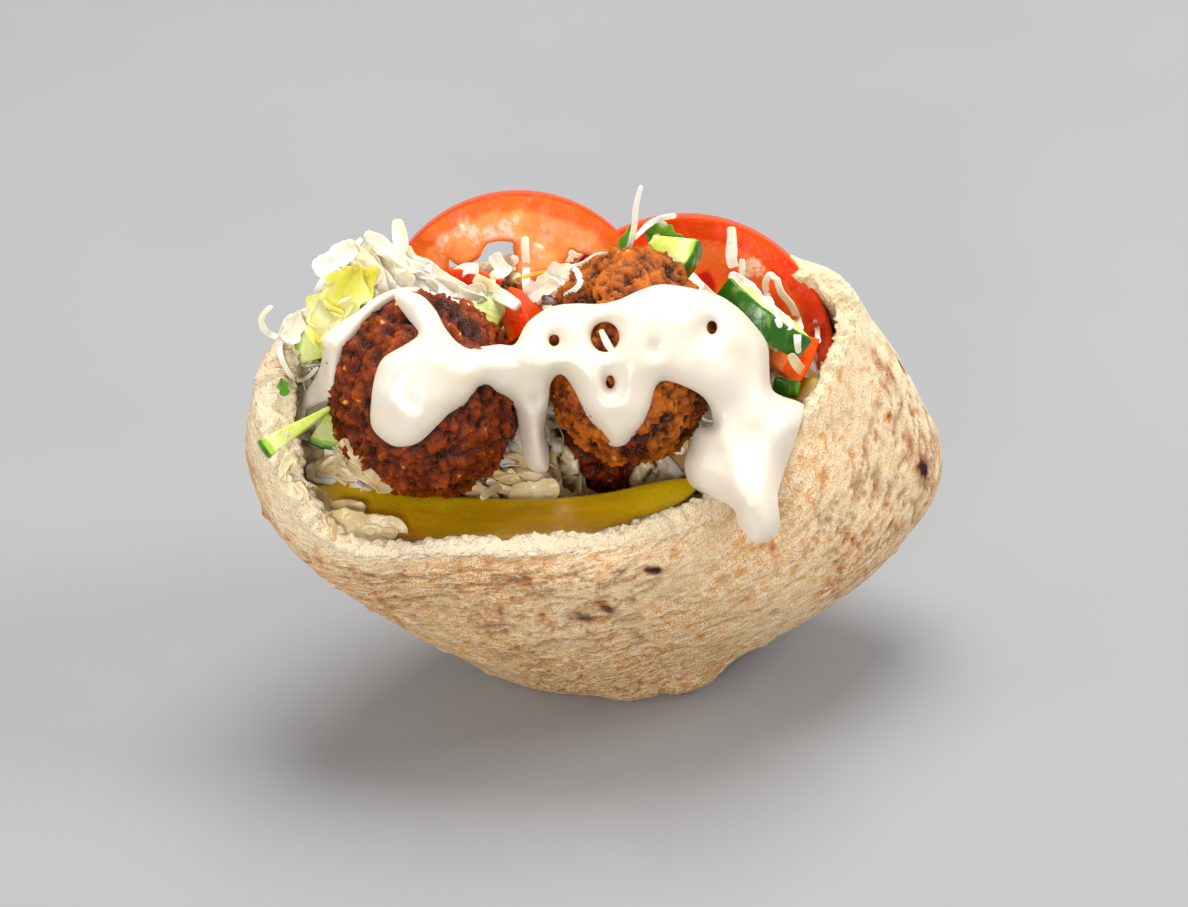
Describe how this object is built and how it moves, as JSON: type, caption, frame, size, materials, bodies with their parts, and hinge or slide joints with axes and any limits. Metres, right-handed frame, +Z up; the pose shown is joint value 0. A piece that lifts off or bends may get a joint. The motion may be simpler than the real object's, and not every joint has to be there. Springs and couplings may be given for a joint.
{
  "type": "falafel pita",
  "caption": "Opened pocket of flat bread that stands on its flattened foot, filled with falafel, shredded cabbage, tomato, cucumber, pickle and lettuce, with thick tahini sauce poured over.",
  "frame": {"origin": "on the floor, on the flattened foot that the pita stands on", "axes": "+X along the pocket's length to its right-hand end, the open mouth leans towards -Y, +Z up"},
  "size_m": [0.1623, 0.0897, 0.1154],
  "materials": {
    "bread": "baked flat bread, floury and blistered outside, pale open crumb inside",
    "falafel": "deep fried crust, rough and dark",
    "tomato": "fresh cut tomato, wet",
    "cucumber": "fresh cut cucumber with green skin, wet",
    "pickle": "pickled cucumber, glossy",
    "lettuce": "thin crisp leaf",
    "salad": "moist shredded cabbage",
    "sauce": "thick tahini sauce, smooth and glossy"
  },
  "bodies": {
    "root": {"pita_bread": "bread", "falafel_left": "falafel", "falafel_upper": "falafel", "falafel_lower": "falafel", "tomato_slice_left": "tomato", "tomato_slice_right": "tomato", "tomato_piece_front": "tomato", "tomato_piece_back": "tomato", "tomato_piece_right": "tomato", "cucumber_left_chunk": "cucumber", "cucumber_left_strip": "cucumber", "cucumber_left_lower": "cucumber", "cucumber_top_wedge": "cucumber", "cucumber_right_slice": "cucumber", "cucumber_right_end": "cucumber", "cucumber_seed_piece": "cucumber", "pickle_front": "pickle", "pickle_right": "pickle", "lettuce_leaf": "lettuce", "salad_heap": "salad", "sauce_main": "sauce", "sauce_left": "sauce"}
  },
  "joints": []
}
